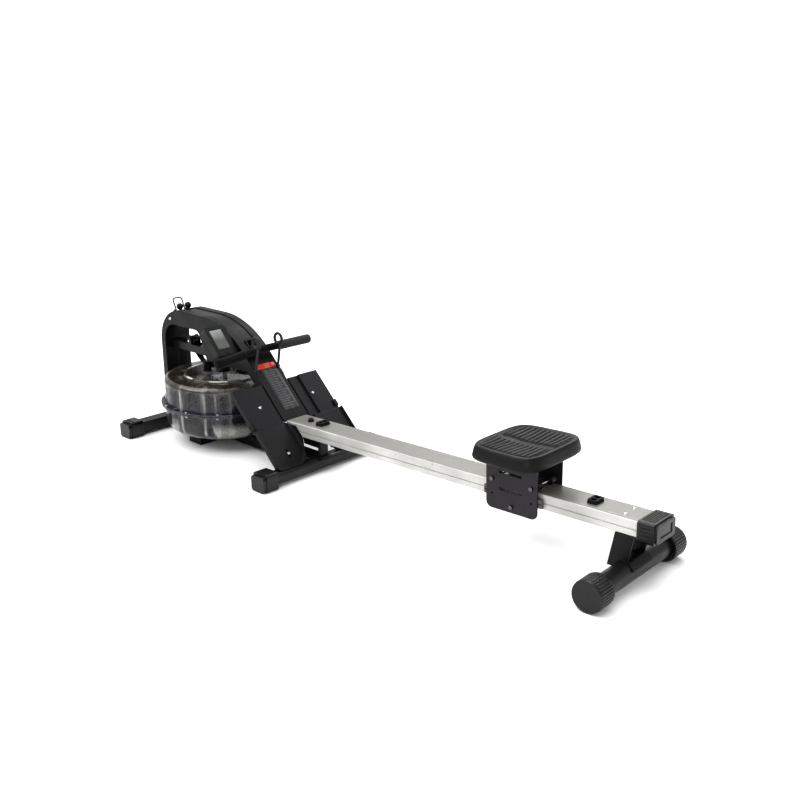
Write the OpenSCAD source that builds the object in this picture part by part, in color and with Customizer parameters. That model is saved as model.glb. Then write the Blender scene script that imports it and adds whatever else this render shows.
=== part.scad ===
// Water rowing machine: inclined rail with a rolling seat, water tank under an arched
// casing, strap-driven paddle, two footrests and three floor supports.
// X runs along the rail (+X towards the tail), Y across it, +Z up, Z = 0 is the floor.
// The origin is on the floor, halfway along the overall length, on the centre plane.

/* [Overall] */
// Overall length, from the front face of the casing to the tail cap
overall_len = 2024; // [1990:2:2050]
// Width over the front and middle feet
foot_span = 536; // [500:4:560]

/* [Rail] */
// Width of the aluminium rail
rail_w = 88; // [84:1:90]
// Height of the aluminium rail
rail_h = 44; // [40:1:46]
// Tilt of the rail, rising towards the tail (degrees)
rail_tilt = 1.6; // [1.2:0.1:1.8]
// Height of the rail's top above the tail tube
rail_tail_z = 189.6; // [186:0.2:194]

/* [Arch casing] */
// Height of the casing's top
arch_z = 441; // [436:1:446]
// Width of the casing
arch_w = 106; // [100:1:108]
// Thickness of the casing walls
shell_wall = 3; // [2:0.5:3.5]
// Radius of the arch's long rear curve
arch_rear_r = 330; // [300:5:345]

/* [Tank] */
// Outer radius of the tank's walls
tank_r = 213; // [205:1:214]
// Outer radius of the bolted flange
flange_r = 226; // [220:1:228]
// Height of the joint between bowl and dome
flange_z = 143; // [138:1:148]
// Height of the rim around the tank's lid
rim_z = 243; // [236:1:244]
// Wall thickness of the tank
tank_wall = 4; // [3:0.5:5]

/* [Seat] */
// Resting place of the seat, measured along the rail from the tail tube
seat_s = -338; // [-400:2:-300]
// Outside width over the two carriage plates
carriage_w = 118; // [112:1:124]
// Radius of the carriage rollers
roller_r = 12; // [11:0.5:13]

/* [Handle] */
// Half of the handle's length
handle_half = 202; // [190:2:220]
// How far the handle's ends bend back towards the rower
handle_bend = 29; // [20:1:35]
// Radius of the foam grips
grip_r = 16; // [15:0.5:17]
// How far the resting handle leans to one side (degrees)
handle_tilt = 2.4; // [0:0.2:3]

/* [Footrests] */
// Outer edge of each footrest from the centre plane
pedal_out = 184; // [176:1:190]
// Length of the upper plate along the slope
plate_len = 160; // [150:1:166]

/* [Hidden] */

$fn = 48;
gap = 0.3;                               // clear space between moving neighbours
fit = 0.05;                              // radial clearance of a running fit

// Stations along X
front_x = -overall_len / 2;              // front face of the casing
tail_x = overall_len / 2 - 84;           // axis of the tail tube
foot_front_x = tail_x - 1890;            // centre of the front support
foot_mid_x = tail_x - 1147;              // centre of the middle support
tank_x = tail_x - 1640;                  // axis of the tank
beam_top = tail_x - 1110;                // x + z along the sloping beam's top face
plate_top = tail_x - 1102;               // x + z along the footrests' face
root2 = sqrt(2);

// Floor supports
foot_len = 58;
foot_w = 66;
foot_h = 58;
bar_w = 46;
bar_z0 = 8;
bar_h = 40;
base_w = 60;
base_z0 = 8;
base_z1 = 44;
tube_wall = 2.5;

// Casing outline
leg_t = 25;                              // thickness of the front leg
corner_r = 122;                          // radius of the front top corner
window_top = arch_z - 55;
panel_z = 284;                           // lower edge of the rear panel
window_rear = tail_x - 1667;             // rear edge of the window at its foot
leg_foot_z = bar_z0 + bar_h + 1;
beam_t = 34;                             // thickness of the sloping cover
rail_top_front = 150;                    // where the sloping cover ends

// Strap drive
strap_w = 22;
strap_t = 1.2;
pulley_x = tail_x - 1814;
pulley_z = 326;
pulley_r = 16;
guide_x = tail_x - 1740;
guide_r = 13;
guide_z = 243;
spool_z0 = 244;
spool_h = 28;
spool_r = 15;
exit_x = tail_x - 1474;
bridge_z0 = 287;
bridge_z1 = 315;
bridge_half = 21;
shaft_r = 8;

// Handle at rest
handle_x = tail_x - 1440;
handle_z = 355;
bar_r = 12.5;
hook_x = tail_x - 1397;
hook_z = 392;
hook_y = 48;

// Rear support
tail_z = 43;
tail_tube_r = 30;
cap_r = 43;
tail_half = 213;
cap_len = 60;

// Carriage, in the rail's own frame (s along the rail, h above its top face)
plate_t = 3.5;
plate_half = 83.5;
plate_top_h = 74;
plate_low_h = -73;
axle_r = 3;
roller_s = 64;
low_roller_h = -rail_h - roller_r - gap;

function arc(cx, cz, r, a0, a1, n = 12) =
    [for (i = [0 : n]) let (a = a0 + (a1 - a0) * i / n) [cx + r * cos(a), cz + r * sin(a)]];

// Places its children in the rail's own frame, origin on the rail's top above the tail tube
module on_rail() {
    translate([tail_x, 0, rail_tail_z]) rotate([0, -rail_tilt, 0]) children();
}

// Extrudes an X-Z outline across Y, from y0 to y1
module across(y0, y1) {
    translate([0, y1, 0]) rotate([90, 0, 0]) linear_extrude(y1 - y0) children();
}

// Rectangle w x h about the origin with true round corners
module round_rect(w, h, r) {
    square([w - 2 * r, h], center = true);
    square([w, h - 2 * r], center = true);
    for (sx = [-1, 1], sy = [-1, 1])
        translate([sx * (w / 2 - r), sy * (h / 2 - r)]) circle(r);
}

module both_sides() {
    children();
    mirror([0, 1, 0]) children();
}

// Places its children on the 45 degree slope: x down the slope, z out of its face
module on_slope(sum, s) {
    translate([sum / 2, 0, sum / 2]) rotate([0, 45, 0]) translate([s, 0, 0]) children();
}

// Domed screw head on its own shank, head towards +Z
module screw(r, len) {
    cylinder(r = r * 0.5, h = len);
    translate([0, 0, len]) difference() {
        cylinder(r1 = r, r2 = r * 0.7, h = r * 0.55);
        translate([0, 0, r * 0.25]) cylinder(r = r * 0.4, h = r, $fn = 6);
    }
}

// ---- Floor supports ----

module hollow_box(size, wall) {
    difference() {
        cube(size);
        translate([wall, -1, wall]) cube([size[0] - 2 * wall, size[1] + 2, size[2] - 2 * wall]);
    }
}

module base_beam() {
    x0 = foot_front_x + bar_w / 2;
    len = foot_mid_x - bar_w / 2 - x0;
    color("#26262a") translate([x0, 0, 0]) rotate([0, 0, -90])
        translate([-base_w / 2, 0, base_z0]) hollow_box([base_w, len, base_z1 - base_z0], tube_wall);
}

module crossbar(x) {
    half = foot_span / 2 - foot_len;
    color("#26262a") translate([x - bar_w / 2, -half, bar_z0])
        hollow_box([bar_w, 2 * half, bar_h], tube_wall);
}

module front_crossbar() { crossbar(foot_front_x); }

module mid_crossbar() {
    half = foot_span / 2 - foot_len;
    color("#303034") across(-half, half) translate([foot_mid_x, bar_z0 + bar_h / 2])
        difference() {
            round_rect(bar_w, bar_h, 14);
            round_rect(bar_w - 2 * tube_wall, bar_h - 2 * tube_wall, 11);
        }
}

// End cap of a floor support: a block with a rounded top and a ridge across it
module foot_cap(x) {
    y0 = foot_span / 2 - foot_len;
    translate([x, 0, 0]) difference() {
        union() {
            across(y0, y0 + foot_len - 12) translate([0, foot_h / 2]) round_rect(foot_w, foot_h, 9);
            across(y0, y0 + foot_len) translate([0, foot_h / 2 - 3]) round_rect(foot_w - 6, foot_h - 6, 12);
        }
        translate([-foot_w, y0 + foot_len * 0.55, foot_h - 2.5]) cube([2 * foot_w, 5, 6]);
    }
}

module front_feet() { color("#202022") both_sides() foot_cap(foot_front_x); }
module mid_feet() { color("#202022") both_sides() foot_cap(foot_mid_x); }

module tank_cradle() {
    color("#1f1f21") translate([tank_x - 20, 0, 0]) difference() {
        translate([-34, -130, 0]) cube([68, 260, base_z1]);
        translate([-40, -base_w / 2 - 0.5, base_z0]) cube([80, base_w + 1, 100]);
    }
}

// ---- Arch ----

// Outside of the arch as an X-Z outline, moved inwards by i
function arch_outline(i) =
    let (top = arch_z - i, r = arch_rear_r - i, bt = beam_top - i * root2,
        curve_x = beam_top - arch_z - arch_rear_r * tan(22.5),
        curve_z = arch_z - arch_rear_r)
    concat(
        [[front_x + i, leg_foot_z + i], [front_x + i, arch_z - corner_r]],
        arc(front_x + corner_r, arch_z - corner_r, corner_r - i, 180, 90),
        arc(curve_x, curve_z, r, 90, 45, 20),
        [[bt - rail_top_front - i, rail_top_front + i],
         [beam_top - beam_t * root2 - rail_top_front - i, rail_top_front + i]]);

// Space inside the arch: window and the bay that holds the tank, grown by i
function arch_bay(i) =
    let (x0 = front_x + leg_t - i, under = beam_top - beam_t * root2 - i * root2,
        back = window_rear + i, r = 60)
    concat(
        [[x0, leg_foot_z - 60], [x0, window_top - r]],
        arc(front_x + leg_t + r, window_top - r, r + i, 180, 90, 8),
        arc(window_rear - 62, window_top - 30, 30 + i, 90, 22, 6),
        [[back, panel_z + i], [under - panel_z - i * 0.4, panel_z + i],
         [under - rail_top_front + 20, rail_top_front - 20], [under - rail_top_front, leg_foot_z - 60]]);

module arch_profile(i) {
    difference() {
        polygon(arch_outline(i));
        polygon(arch_bay(i));
    }
}

module arch_half() {
    difference() {
        across(-arch_w / 2, -0.15) arch_profile(0);
        across(shell_wall - arch_w / 2, 5) arch_profile(shell_wall);
        // trough over the top and down the curve, which takes the channel strip
        channel_band(24, -5, trough_depth);
        strap_window();
        on_slope(beam_top, slope_at(exit_x)) translate([-26, -20, -20]) cube([52, 40, 40]);
        translate([front_x + leg_t - 6, -bridge_half - gap, bridge_z0 - gap])
            cube([20, 60, bridge_z1 - bridge_z0 + 2 * gap]);
        translate([window_rear - 18, -bridge_half - gap, bridge_z0 - gap])
            cube([46, 60, bridge_z1 - bridge_z0 + 2 * gap]);
        for (p = casing_screws()) translate([p[0], -70, p[1]]) rotate([-90, 0, 0]) cylinder(r = 4, h = 40);
        translate([front_x + 4.6, -34.4, leg_foot_z - 2]) cube([17, 70, 10]);
    }
}

trough_depth = 5;
channel_x0 = front_x + corner_r - 10;
channel_x1 = tail_x - 1500;

// Part of the arch's skin between two depths, either side of the centre plane
module channel_band(half, i0, i1) {
    intersection() {
        across(-half, half) difference() {
            polygon(arch_outline(i0));
            polygon(arch_outline(i1));
        }
        translate([channel_x0, -60, 300]) cube([channel_x1 - channel_x0, 120, 200]);
    }
}

function curve_start() = beam_top - arch_z - arch_rear_r * tan(22.5);
// Distance down the slope from its reference point to the place with this x
function slope_at(x) = (x - beam_top / 2) * root2;
function casing_screws() = [[tail_x - 1876, 404], [tail_x - 1606, 372], [tail_x - 1545, 312]];

// Opening for the strap through the front edge of the rear panel
module strap_window() {
    translate([window_rear - 60, -14, pulley_z + 4]) cube([110, 28, 34]);
}

module arch_shell_left() { color("#2b2b2e") arch_half(); }
module arch_shell_right() { color("#2b2b2e") mirror([0, 1, 0]) arch_half(); }

// Steel tube bent to the arch: upright, top and sloping leg, inside the casing
module arch_tube_outline(i) {
    t = 16;
    o = 5 + i;
    top = arch_z - 10 - i;
    low = top - t + 2 * i;
    bt = beam_top - o * root2;
    ub = beam_top - (o + t - 2 * i) * root2;
    x1 = front_x + 5 + i;
    cx = front_x + corner_r;
    cz = arch_z - corner_r;
    polygon(concat(
        [[x1, leg_foot_z - 1]], arc(cx, cz, corner_r - 5 - i, 180, 90, 8), [
         [curve_start() - 10, top], [bt - 378, 372], [bt - 160, 160],
         [ub - 160, 160], [ub - 362, 362], [curve_start() - 18, low]],
        arc(cx, cz, corner_r - 5 - t + i, 90, 180, 8), [[x1 + t - 2 * i - 2 + 2, leg_foot_z - 1]]));
}

module arch_frame() {
    color("#1c1c1e") difference() {
        across(-34, 34) arch_tube_outline(0);
        across(-32, 32) arch_tube_outline(2);
        on_slope(beam_top, slope_at(exit_x)) translate([-60, -20, -80]) cube([120, 40, 120]);
        translate([front_x, -bridge_half - 1, bridge_z0 - 1])
            cube([leg_t + 4, 2 * bridge_half + 2, bridge_z1 - bridge_z0 + 2]);
        for (p = casing_screws()) translate([p[0], -50, p[1]]) rotate([-90, 0, 0]) cylinder(r = 6, h = 100);
    }
}

module top_channel() {
    color("#4a4a4e") difference() {
        channel_band(23.5, 2.4, trough_depth - 0.1);
        for (x = [channel_x0 + 24, curve_start() - 30])
            translate([x, 0, arch_z - 20]) cylinder(r = 3, h = 30);
    }
}

module machine_screws() {
    color("#c9cbd0") {
        both_sides() for (p = casing_screws())
            translate([p[0], 9 - arch_w / 2, p[1]]) rotate([90, 0, 0]) screw(6, 9);
        both_sides() for (s = [0.5 * plate_len, heel_screw_s])
            on_slope(plate_top, slope_plate() + s) translate([0, -116, -9]) screw(5.6, heel_rise(s));
        on_rail() for (y = [-22, 22]) translate([-18, y, -5]) screw(6, 5);
    }
}
function slope_plate() = (tail_x - 1363 - plate_top / 2) * root2;
heel_screw_s = plate_len + 103;
function heel_rise(s) = s > plate_len ? 17.4 : 9.2;

module decal() {
    color("#77797c") on_slope(beam_top, slope_at(tail_x - 1410)) translate([0, -40, 0.02])
        cube([182, 80, 0.5]);
}

// ---- Strap drive ----

module pulley_bridge() {
    x0 = front_x + 24;
    len = window_rear + 14 - x0;
    color("#3a3a3d") difference() {
        union() {
            translate([x0, -bridge_half, bridge_z0]) cube([len, 2 * bridge_half, bridge_z1 - bridge_z0]);
            both_sides() translate([pulley_x, bridge_half, 0]) rotate([90, 0, 0])
                linear_extrude(4) {
                    translate([-12, bridge_z1 - 1]) square([24, pulley_z - bridge_z1 + 1]);
                    translate([0, pulley_z]) circle(12);
                }
        }
        translate([pulley_x - 26, -bridge_half + 4.5, bridge_z0 - 1])
            cube([72, 2 * bridge_half - 9, bridge_z1 - bridge_z0 + 20]);
        translate([pulley_x, -40, pulley_z]) rotate([-90, 0, 0]) cylinder(r = 4, h = 80);
        translate([guide_x, 0, bridge_z0 - 1]) cylinder(r = 3, h = 16);
    }
}

module pulley_pins() {
    color("#b9bbc0") {
        translate([pulley_x, -bridge_half - 3, pulley_z]) rotate([-90, 0, 0])
            cylinder(r = 4, h = 2 * bridge_half + 6);
        translate([guide_x, 0, guide_z - 22]) cylinder(r = 3, h = bridge_z0 + 32 - guide_z);
        translate([guide_x, 0, guide_z - 22]) cylinder(r = 5, h = 3);
    }
}

// Sheave that turns on a pin along +Z, with flanges either side of the strap
module sheave(drum_r, flange_r, width, bore_r) {
    rotate_extrude() {
        translate([bore_r, -width / 2]) square([drum_r - bore_r, width]);
        for (z = [-width / 2, width / 2 - 2]) translate([bore_r, z]) square([flange_r - bore_r, 2]);
    }
}

module idler_pulley() {
    color("#151517") translate([pulley_x, 0, pulley_z]) rotate([90, 0, 0])
        sheave(pulley_r, pulley_r + 4, strap_w + 8, 4 + fit);
}

module guide_roller() {
    color("#151517") translate([guide_x, 0, guide_z]) sheave(guide_r, guide_r + 4, strap_w + 14, 3 + fit);
}

module spool() {
    color("#151517") translate([tank_x, 0, spool_z0 + spool_h / 2])
        sheave(spool_r, spool_r + 10, spool_h, shaft_r + fit);
}

// Rings of a ribbon: each is [centre, direction across the ribbon, direction through it]
function ribbon_points(rings) = [for (r = rings, c = [[-1, -1], [1, -1], [1, 1], [-1, 1]])
    r[0] + c[0] * strap_w / 2 * r[1] + c[1] * strap_t / 2 * r[2]];
function ribbon_faces(n) = concat([[3, 2, 1, 0]],
    [for (i = [0 : n - 2], k = [0 : 3]) let (m = (k + 1) % 4)
        [4 * i + m, 4 * i + 4 + m, 4 * i + 4 + k, 4 * i + k]],
    [[4 * n - 4, 4 * n - 3, 4 * n - 2, 4 * n - 1]]);

module pull_strap() {
    wrap = pulley_r + gap + strap_t / 2;
    off = guide_r + 0.6 + strap_t / 2;
    coil = spool_r + 6;
    mid_z = spool_z0 + spool_h / 2;
    across_y = [0, 1, 0];
    clip = [handle_x - 28, 0, handle_z + 4];
    top = [pulley_x, 0, pulley_z + wrap];
    lead = [(clip[0] - top[0]), 0, clip[2] - top[2]];
    tilt = atan2(lead[2], lead[0]);
    under = [pulley_x + 4, 0, pulley_z - wrap];
    side = [guide_x, off, guide_z];
    rings = concat(
        [[clip, across_y, [-sin(tilt), 0, cos(tilt)]]],
        [for (a = [90 + tilt : 20 : 261 + tilt])
            [[pulley_x + wrap * cos(a), 0, pulley_z + wrap * sin(a)], across_y, [cos(a), 0, sin(a)]]],
        [for (k = [1 : 8]) let (f = k / 9, drop = 1 - pow(1 - f, 2), t = min(90, 15 * k))
            [[under[0] + f * (side[0] - under[0]), f * off, under[2] + drop * (guide_z - under[2])],
             [0, cos(t), sin(t)], [0, sin(t), -cos(t)]]],
        [[side, [0, 0, 1], [0, 1, 0]],
         [[tank_x - 36, coil - 0.6, mid_z], [0, 0, 1], [0, 1, 0]],
         [[tank_x, coil - 0.4, mid_z], [0, 0, 1], [0, 1, 0]]]);
    color("#1a1a1c") {
        polyhedron(ribbon_points(rings), ribbon_faces(len(rings)));
        translate([tank_x, 0, mid_z - strap_w / 2]) rotate_extrude()
            translate([spool_r + gap, 0]) square([coil - spool_r - gap, strap_w]);
    }
}

module recoil_cord() {
    color("#1a1a1c") translate([front_x + leg_t + 12, 26, leg_foot_z]) cylinder(r = 3, h = 225, $fn = 24);
    color("#1a1a1c") translate([front_x + leg_t + 12, 26, leg_foot_z]) cylinder(r = 6, h = 14, $fn = 24);
}

module strap_guide() {
    color("#2e2e31") on_slope(beam_top, slope_at(exit_x)) difference() {
        translate([-25.5, -19.5, -12]) cube([51, 39, 12.6]);
        translate([-21, -14, -13]) cube([42, 28, 17]);
    }
}

module handle_hooks() {
    foot = [beam_top - 294, 294];
    color("#2a2a2d") both_sides() translate([0, hook_y, 0]) {
        translate([hook_x, 0, hook_z]) rotate([90, 0, 0]) rotate_extrude() translate([18, 0]) circle(4.8);
        lean = [hook_x + 9 - foot[0], hook_z - 13 - foot[1]];
        reach = norm(lean);
        translate([foot[0], 0, foot[1] + 0.5]) rotate([0, atan2(lean[0], lean[1]), 0])
            translate([0, 0, 3.5]) cylinder(r = 4.4, h = reach);
        on_slope(beam_top, slope_at(foot[0])) translate([0, 0, 0.05]) cylinder(r = 6, h = 6);
    }
}

// ---- Console and phone rest ----

console_w = 84;
console_len = 116;
console_y = -arch_w / 2 - console_w / 2 - 1;
screen_at = [-6, -4];
screen_len = 74;
screen_w = 48;
button_x = 48;

// Places its children on the console's sloping face, x down the slope
module on_console() {
    translate([tail_x - 1519, console_y, 392]) rotate([0, 47, 0]) children();
}

module console_housing() {
    color("#2a2a2c") on_console() difference() {
        union() {
            translate([0, 0, -26]) linear_extrude(26) round_rect(console_len, console_w, 12);
            translate([-6, 0, -38]) linear_extrude(13) round_rect(console_len - 34, console_w - 20, 10);
            translate([-30, console_w / 2 - 4, -24]) cube([48, 4.9, 18]);
        }
        translate([screen_at[0], screen_at[1], -3]) linear_extrude(4) round_rect(screen_len, screen_w, 3);
        translate([button_x, screen_at[1], -6]) cylinder(r = 5.3, h = 10);
    }
}

module console_screen() {
    color("#7e857f") on_console() translate([screen_at[0], screen_at[1], -2.9])
        linear_extrude(2.2) round_rect(screen_len - 0.4, screen_w - 0.4, 2.8);
}

module console_button() {
    color("#3c3c40") on_console() translate([button_x, screen_at[1], -4]) {
        cylinder(r = 5, h = 4);
        translate([0, 0, 4]) cylinder(r1 = 5, r2 = 4, h = 1.6);
    }
}

// Wire rest for a phone, pinned between two ears on the casing's front corner
rest_x = tail_x - 1884;
rest_z = 428;
rest_y = 18.5;
knob_x = tail_x - 1862;
knob_z = 446;
wire_r = 2.5;

module phone_bracket() {
    lean = atan2(front_x + corner_r - rest_x, rest_z - arch_z + corner_r);
    color("#141416") both_sides() {
        translate([rest_x, rest_y + 10, rest_z]) rotate([90, 0, 0]) rotate([0, 0, lean]) difference() {
            union() {
                cylinder(r = 5, h = 6);
                translate([-7, -5.2, 0]) cube([14, 4, 6]);
            }
            translate([0, 0, -1]) cylinder(r = wire_r + fit, h = 9);
        }
        translate([knob_x, rest_y - 1, knob_z]) rotate([0, -20, 0]) {
            sphere(12);
            translate([0, 0, -12.4]) cylinder(r = 4.8, h = 9);
        }
    }
}

module phone_rest() {
    reach = 46;
    color("#8e9094") translate([rest_x, 0, rest_z]) rotate([0, -24, 0]) {
        both_sides() {
            translate([0, rest_y, 0]) cylinder(r = wire_r, h = reach - 8);
            translate([0, rest_y - 8, reach - 8]) rotate([0, 90, 0]) rotate([0, 0, 90])
                rotate_extrude(angle = 90) translate([8, 0]) circle(wire_r);
            translate([0, rest_y, 0]) sphere(wire_r);
            translate([0, rest_y, 0]) rotate([-90, 0, 0]) cylinder(r = wire_r, h = 10);
        }
        translate([0, 8 - rest_y, reach]) rotate([-90, 0, 0]) cylinder(r = wire_r, h = 2 * rest_y - 16);
    }
}

// ---- Tank ----

// Wall of the bowl as an R-Z outline: flat floor, round shoulder, straight wall
function bowl_outline(i) =
    let (z0 = base_z1 + 0.2, r = 52)
    concat([[0, z0 + i]], arc(tank_r - r, z0 + r, r - i, -90, 0, 12), [[tank_r - i, flange_z - 0.8]]);

module tank_bowl() {
    color([0.55, 0.55, 0.6, 0.4]) translate([tank_x, 0, 0]) difference() {
        rotate_extrude($fn = 96) {
            difference() {
                polygon(concat(bowl_outline(0), [[0, flange_z - 0.8]]));
                polygon(concat(bowl_outline(tank_wall), [[tank_r - tank_wall, flange_z + 5],
                    [0, flange_z + 5]]));
            }
            translate([tank_r - tank_wall, flange_z - 6]) square([flange_r - tank_r + tank_wall, 5.2]);
            translate([shaft_r + fit, base_z1 + 2]) square([9, 16]);
        }
        for (k = [0 : 11]) rotate([0, 0, 30 * k + 15])
            translate([flange_r - 6, 0, flange_z - 10]) cylinder(r = 2.6, h = 12);
    }
}

// Dome: straight wall, round shoulder, raised rim and a recessed lid
module tank_dome() {
    shoulder = 18;
    lid_z = rim_z - 25;
    rim_r = 137;
    color([0.6, 0.6, 0.66, 0.4]) translate([tank_x, 0, 0]) difference() {
        rotate_extrude($fn = 96) {
            difference() {
                polygon(concat([[0, flange_z + 0.8], [tank_r, flange_z + 0.8]],
                    arc(tank_r - shoulder, rim_z - 6 - shoulder, shoulder, 0, 90, 10),
                    [[rim_r + 6, rim_z - 5], [rim_r + 4, rim_z], [rim_r - 3, rim_z], [rim_r - 5, lid_z],
                     [0, lid_z]]));
                polygon(concat([[0, flange_z - 5], [tank_r - tank_wall, flange_z - 5]],
                    arc(tank_r - shoulder, rim_z - 6 - shoulder, shoulder - tank_wall, 0, 90, 10),
                    [[rim_r + 1, rim_z - 10], [rim_r - 5, lid_z - tank_wall], [0, lid_z - tank_wall]]));
            }
            translate([tank_r - tank_wall, flange_z + 0.8]) square([flange_r - tank_r + tank_wall, 5.2]);
            translate([shaft_r + fit, lid_z - 14]) square([10, 16]);
        }
        translate([0, 0, lid_z - 20]) cylinder(r = shaft_r + fit, h = 40);
        for (k = [0 : 11]) rotate([0, 0, 30 * k + 15])
            translate([flange_r - 6, 0, flange_z - 2]) cylinder(r = 2.6, h = 12);
        translate([-20, 100, lid_z - 10]) cylinder(r = 17, h = 20);
    }
}

module tank_gasket() {
    color("#222224") translate([tank_x, 0, flange_z - 0.8]) difference() {
        cylinder(r = flange_r - 0.5, h = 1.6, $fn = 96);
        translate([0, 0, -1]) cylinder(r = tank_r - 2, h = 4, $fn = 96);
        for (k = [0 : 11]) rotate([0, 0, 30 * k + 15])
            translate([flange_r - 6, 0, -1]) cylinder(r = 2.6, h = 5);
    }
}

module tank_bolts() {
    color("#b9bbc0") translate([tank_x, 0, 0]) for (k = [0 : 11]) rotate([0, 0, 30 * k + 15])
        translate([flange_r - 6, 0, 0]) {
            translate([0, 0, flange_z - 9]) cylinder(r = 2.5, h = 18);
            translate([0, 0, flange_z + 6.05]) cylinder(r = 4.6, h = 3.4);
            translate([0, 0, flange_z - 9.6]) cylinder(r = 4.6, h = 3.5, $fn = 6);
        }
}

module fill_plug() {
    color("#1b1b1d") translate([tank_x - 20, 100, rim_z - 25]) {
        translate([0, 0, -9]) cylinder(r = 16.9, h = 9);
        cylinder(r = 21, h = 7);
        translate([-16, -3, 7]) cube([32, 6, 7]);
    }
}

module drive_shaft() {
    z0 = base_z1 + 7;
    color("#b9bbc0") translate([tank_x, 0, z0]) cylinder(r = shaft_r, h = spool_z0 + spool_h + 6 - z0);
}

module impeller() {
    z0 = base_z1 + 26;
    color("#3f4148") translate([tank_x, 0, z0]) difference() {
        union() {
            cylinder(r = 20, h = 62);
            for (k = [0 : 5]) rotate([0, 0, 60 * k]) {
                translate([15, -1.5, 4]) cube([128, 3, 50]);
                translate([120, -6, 4]) cube([23, 6, 50]);
            }
        }
        translate([0, 0, -1]) cylinder(r = shaft_r, h = 70);
    }
}

// ---- Handle ----

// Buckle that holds the strap's end and swivels on a pin through the handle's lug
module strap_clip() {
    color("#8e9094") translate([handle_x - 17, 0, handle_z + 4]) {
        difference() {
            translate([-16, -13.4, -4]) cube([9, 26.8, 8]);
            translate([-17, -11.4, -1.5]) cube([8, 22.8, 3]);
        }
        both_sides() translate([-8, 12, -3]) cube([11, 1.4, 6]);
        rotate([-90, 0, 0]) translate([0, 0, -13]) cylinder(r = 2, h = 26);
    }
}

bend_angle = atan2(handle_bend, handle_half);

module on_handle() {
    translate([handle_x, 0, handle_z]) rotate([handle_tilt, 0, 0]) children();
}

// Turns +Z on to the handle's half that points to +Y
module arm_turn() {
    rotate([-90, 0, -bend_angle]) children();
}

module handle_bar() {
    len = norm([handle_half, handle_bend]);
    color("#38383b") {
        for (m = [0, 1]) on_handle() mirror([0, m, 0]) arm_turn() cylinder(r = bar_r, h = len - 6);
        on_handle() sphere(bar_r + 0.5);
        difference() {
            translate([handle_x - 22, -11.6, handle_z + 0.5]) cube([17, 23.2, 7]);
            translate([handle_x - 17, -20, handle_z + 4]) rotate([-90, 0, 0]) cylinder(r = 2 + fit, h = 40);
        }
    }
}

module handle_grips() {
    len = norm([handle_half, handle_bend]);
    color("#505053") for (m = [0, 1]) on_handle() mirror([0, m, 0]) arm_turn() difference() {
        union() {
            translate([0, 0, len - 128]) cylinder(r = grip_r, h = 120);
            translate([0, 0, len - 8]) cylinder(r1 = grip_r, r2 = grip_r - 7, h = 8);
        }
        translate([0, 0, len - 130]) cylinder(r = bar_r, h = 124);
    }
}

// ---- Rail and tail ----

module rail() {
    s0 = -1259;
    s1 = 30;
    color("#c9c7c2") on_rail() difference() {
        translate([s0, 0, -rail_h / 2]) rotate([90, 0, 90]) linear_extrude(s1 - s0) difference() {
            round_rect(rail_w, rail_h, 4);
            for (y = [-28, 0, 28]) translate([y, 0]) square([25, rail_h - 7], center = true);
            for (s = [-1, 1]) {
                translate([s * rail_w / 2, rail_h / 2 - 25]) square([3.2, 2.4], center = true);
                translate([s * 33, rail_h / 2]) square([1.6, 1.6], center = true);
            }
        }
        for (y = [-22, 22]) translate([-18, y, -10]) cylinder(r = 3.2, h = 20);
    }
}

module rail_cheeks() {
    color("#232325") both_sides() across(rail_w / 2 + 0.3, rail_w / 2 + 4.3)
        polygon([[beam_top - beam_t * root2 - 144, 144], [beam_top - 105, 146], [foot_mid_x - 34, 112],
            [foot_mid_x - 26, base_z1 + 2], [foot_mid_x - 130, base_z1 + 2]]);
}

module rail_post() {
    color("#1f1f21") translate([foot_mid_x + 12, 0, 0]) {
        translate([-6, -16, bar_z0 + bar_h + 0.1]) cube([12, 32, 108 - bar_z0 - bar_h + 0.4]);
        translate([-16, -22, bar_z0 + bar_h + 0.1]) cube([32, 44, 4]);
    }
}

// Rubber buffer with a moulded body and a metal stop plate
module rail_stop(s) {
    on_rail() translate([s, 0, 0.05]) difference() {
        union() {
            linear_extrude(3) round_rect(30, 42, 6);
            linear_extrude(9.6) difference() {
                round_rect(28, 40, 5);
                for (y = [-9, 9]) translate([0, y]) round_rect(16, 13, 3);
            }
        }
        for (y = [-9, 9]) translate([0, y, 1]) cylinder(r = 3.4, h = 10);
    }
}

module rail_stops() { color("#2a2a2c") for (s = [-1134, -116]) rail_stop(s); }

module rail_knob() {
    color("#18181a") on_rail() translate([-1190, 0, 0.05]) {
        cylinder(r = 10, h = 4);
        translate([0, 0, 4]) cylinder(r1 = 8.5, r2 = 7, h = 6, $fn = 24);
    }
}

module rail_end_cap() {
    color("#1c1c1e") on_rail() difference() {
        union() {
            for (end = [[30, 46, 100, 56, 7], [75.9, 6.7, 92, 48, 9]])
                translate([end[0], 0, -rail_h / 2 - 2]) rotate([90, 0, 90])
                    linear_extrude(end[1]) round_rect(end[2], end[3], end[4]);
        }
        for (x = [36 : 6 : 66]) translate([x, -38, 2.8]) cube([2.4, 76, 4]);
        for (m = [0, 1], z = [-14, -24, -34]) mirror([0, m, 0]) translate([40, 48.8, z]) cube([26, 3, 2.4]);
        translate([80.6, -30, -36]) cube([4, 60, 26]);
    }
}

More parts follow.
